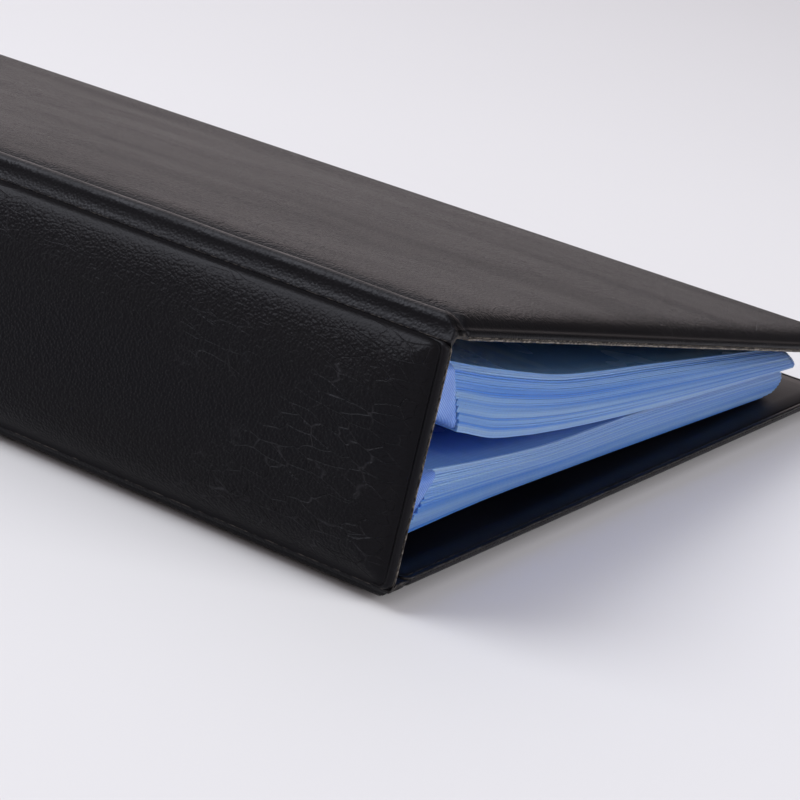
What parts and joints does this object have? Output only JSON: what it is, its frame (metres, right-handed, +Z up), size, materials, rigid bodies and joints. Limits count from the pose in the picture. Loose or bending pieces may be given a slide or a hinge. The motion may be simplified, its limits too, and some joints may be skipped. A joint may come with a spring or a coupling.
{
  "type": "coin album",
  "caption": "Padded coin album with a square spine, hinged covers with welded edges, and translucent pocket leaves fused in blocks to the spine.",
  "frame": {"origin": "middle of the back cover's resting face", "axes": "+X from the spine to the fore edge, +Y along the spine, +Z up from the face it lies on"},
  "size_m": [0.1928, 0.262, 0.0503],
  "materials": {
    "leatherette": "semi-matt, fine grain",
    "foam": "matt",
    "greyboard": "matt",
    "liner_film": "smooth",
    "hinge_film": "semi-gloss",
    "fused_pvc": "hatched by the welding tool",
    "pocket_film": "smooth, translucent"
  },
  "bodies": {
    "back_cover": {"back_cover_skin": "leatherette", "back_cover_foam": "foam", "back_cover_board": "greyboard", "back_cover_liner": "liner_film"},
    "spine": {"spine_skin": "leatherette", "spine_foam": "foam", "spine_board": "greyboard", "spine_liner": "liner_film", "back_hinge_strip": "hinge_film", "front_hinge_strip": "hinge_film", "lower_binding_block": "fused_pvc", "upper_binding_block": "fused_pvc"},
    "front_cover": {"front_cover_skin": "leatherette", "front_cover_foam": "foam", "front_cover_board": "greyboard", "front_cover_liner": "liner_film"},
    "leaf_01": {"leaf_01": "pocket_film"},
    "leaf_02": {"leaf_02": "pocket_film"},
    "leaf_03": {"leaf_03": "pocket_film"},
    "leaf_04": {"leaf_04": "pocket_film"},
    "leaf_05": {"leaf_05": "pocket_film"},
    "leaf_06": {"leaf_06": "pocket_film"},
    "leaf_07": {"leaf_07": "pocket_film"},
    "leaf_08": {"leaf_08": "pocket_film"},
    "leaf_09": {"leaf_09": "pocket_film"},
    "leaf_10": {"leaf_10": "pocket_film"},
    "leaf_11": {"leaf_11": "pocket_film"},
    "leaf_12": {"leaf_12": "pocket_film"},
    "leaf_13": {"leaf_13": "pocket_film"},
    "leaf_14": {"leaf_14": "pocket_film"},
    "leaf_15": {"leaf_15": "pocket_film"},
    "leaf_16": {"leaf_16": "pocket_film"},
    "leaf_17": {"leaf_17": "pocket_film"},
    "leaf_18": {"leaf_18": "pocket_film"},
    "leaf_19": {"leaf_19": "pocket_film"},
    "leaf_20": {"leaf_20": "pocket_film"}
  },
  "joints": [
    {"name": "back_hinge", "type": "hinge", "parent": "back_cover", "child": "spine", "pos_m": [-0.094, 0, 0.0045], "axis": [0, -1, 0], "range_deg": [0, 95]},
    {"name": "front_hinge", "type": "hinge", "parent": "spine", "child": "front_cover", "pos_m": [-0.0901, 0, 0.04732], "axis": [0, -1, 0], "range_deg": [0, 95]},
    {"name": "leaf_01_turn", "type": "hinge", "parent": "spine", "child": "leaf_01", "pos_m": [-0.08283, 0, 0.00845], "axis": [0, -1, 0], "range_deg": [-89.35, 0]},
    {"name": "leaf_02_turn", "type": "hinge", "parent": "spine", "child": "leaf_02", "pos_m": [-0.08181, 0, 0.00946], "axis": [0, -1, 0], "range_deg": [-87.45, 0]},
    {"name": "leaf_03_turn", "type": "hinge", "parent": "spine", "child": "leaf_03", "pos_m": [-0.08078, 0, 0.01047], "axis": [0, -1, 0], "range_deg": [-85.55, 0]},
    {"name": "leaf_04_turn", "type": "hinge", "parent": "spine", "child": "leaf_04", "pos_m": [-0.07975, 0, 0.01149], "axis": [0, -1, 0], "range_deg": [-83.65, 0]},
    {"name": "leaf_05_turn", "type": "hinge", "parent": "spine", "child": "leaf_05", "pos_m": [-0.07873, 0, 0.0125], "axis": [0, -1, 0], "range_deg": [-81.75, 0]},
    {"name": "leaf_06_turn", "type": "hinge", "parent": "spine", "child": "leaf_06", "pos_m": [-0.0777, 0, 0.01351], "axis": [0, -1, 0], "range_deg": [-79.85, 0]},
    {"name": "leaf_07_turn", "type": "hinge", "parent": "spine", "child": "leaf_07", "pos_m": [-0.07667, 0, 0.01452], "axis": [0, -1, 0], "range_deg": [-77.95, 0]},
    {"name": "leaf_08_turn", "type": "hinge", "parent": "spine", "child": "leaf_08", "pos_m": [-0.07565, 0, 0.01553], "axis": [0, -1, 0], "range_deg": [-76.05, 0]},
    {"name": "leaf_09_turn", "type": "hinge", "parent": "spine", "child": "leaf_09", "pos_m": [-0.07462, 0, 0.01654], "axis": [0, -1, 0], "range_deg": [-74.15, 0]},
    {"name": "leaf_10_turn", "type": "hinge", "parent": "spine", "child": "leaf_10", "pos_m": [-0.0736, 0, 0.01755], "axis": [0, -1, 0], "range_deg": [-72.25, 0]},
    {"name": "leaf_11_turn", "type": "hinge", "parent": "spine", "child": "leaf_11", "pos_m": [-0.06992, 0, 0.02555], "axis": [0, -1, 0], "range_deg": [0, 59.9]},
    {"name": "leaf_12_turn", "type": "hinge", "parent": "spine", "child": "leaf_12", "pos_m": [-0.07046, 0, 0.02689], "axis": [0, -1, 0], "range_deg": [0, 61.8]},
    {"name": "leaf_13_turn", "type": "hinge", "parent": "spine", "child": "leaf_13", "pos_m": [-0.071, 0, 0.02824], "axis": [0, -1, 0], "range_deg": [0, 63.7]},
    {"name": "leaf_14_turn", "type": "hinge", "parent": "spine", "child": "leaf_14", "pos_m": [-0.07154, 0, 0.02958], "axis": [0, -1, 0], "range_deg": [0, 65.6]},
    {"name": "leaf_15_turn", "type": "hinge", "parent": "spine", "child": "leaf_15", "pos_m": [-0.07208, 0, 0.03093], "axis": [0, -1, 0], "range_deg": [0, 67.5]},
    {"name": "leaf_16_turn", "type": "hinge", "parent": "spine", "child": "leaf_16", "pos_m": [-0.07262, 0, 0.03227], "axis": [0, -1, 0], "range_deg": [0, 69.4]},
    {"name": "leaf_17_turn", "type": "hinge", "parent": "spine", "child": "leaf_17", "pos_m": [-0.07316, 0, 0.03362], "axis": [0, -1, 0], "range_deg": [0, 71.3]},
    {"name": "leaf_18_turn", "type": "hinge", "parent": "spine", "child": "leaf_18", "pos_m": [-0.0737, 0, 0.03496], "axis": [0, -1, 0], "range_deg": [0, 73.2]},
    {"name": "leaf_19_turn", "type": "hinge", "parent": "spine", "child": "leaf_19", "pos_m": [-0.07424, 0, 0.03631], "axis": [0, -1, 0], "range_deg": [0, 75.1]},
    {"name": "leaf_20_turn", "type": "hinge", "parent": "spine", "child": "leaf_20", "pos_m": [-0.07478, 0, 0.03765], "axis": [0, -1, 0], "range_deg": [0, 77]}
  ],
  "couplings": [
    {"joint": "leaf_01_turn", "follows": "back_hinge", "ratio": -0.93},
    {"joint": "leaf_02_turn", "follows": "back_hinge", "ratio": -0.91},
    {"joint": "leaf_03_turn", "follows": "back_hinge", "ratio": -0.89},
    {"joint": "leaf_04_turn", "follows": "back_hinge", "ratio": -0.87},
    {"joint": "leaf_05_turn", "follows": "back_hinge", "ratio": -0.85},
    {"joint": "leaf_06_turn", "follows": "back_hinge", "ratio": -0.83},
    {"joint": "leaf_07_turn", "follows": "back_hinge", "ratio": -0.81},
    {"joint": "leaf_08_turn", "follows": "back_hinge", "ratio": -0.79},
    {"joint": "leaf_09_turn", "follows": "back_hinge", "ratio": -0.77},
    {"joint": "leaf_10_turn", "follows": "back_hinge", "ratio": -0.75},
    {"joint": "leaf_11_turn", "follows": "front_hinge", "ratio": 0.62},
    {"joint": "leaf_12_turn", "follows": "front_hinge", "ratio": 0.64},
    {"joint": "leaf_13_turn", "follows": "front_hinge", "ratio": 0.66},
    {"joint": "leaf_14_turn", "follows": "front_hinge", "ratio": 0.68},
    {"joint": "leaf_15_turn", "follows": "front_hinge", "ratio": 0.7},
    {"joint": "leaf_16_turn", "follows": "front_hinge", "ratio": 0.72},
    {"joint": "leaf_17_turn", "follows": "front_hinge", "ratio": 0.74},
    {"joint": "leaf_18_turn", "follows": "front_hinge", "ratio": 0.76},
    {"joint": "leaf_19_turn", "follows": "front_hinge", "ratio": 0.78},
    {"joint": "leaf_20_turn", "follows": "front_hinge", "ratio": 0.8}
  ]
}
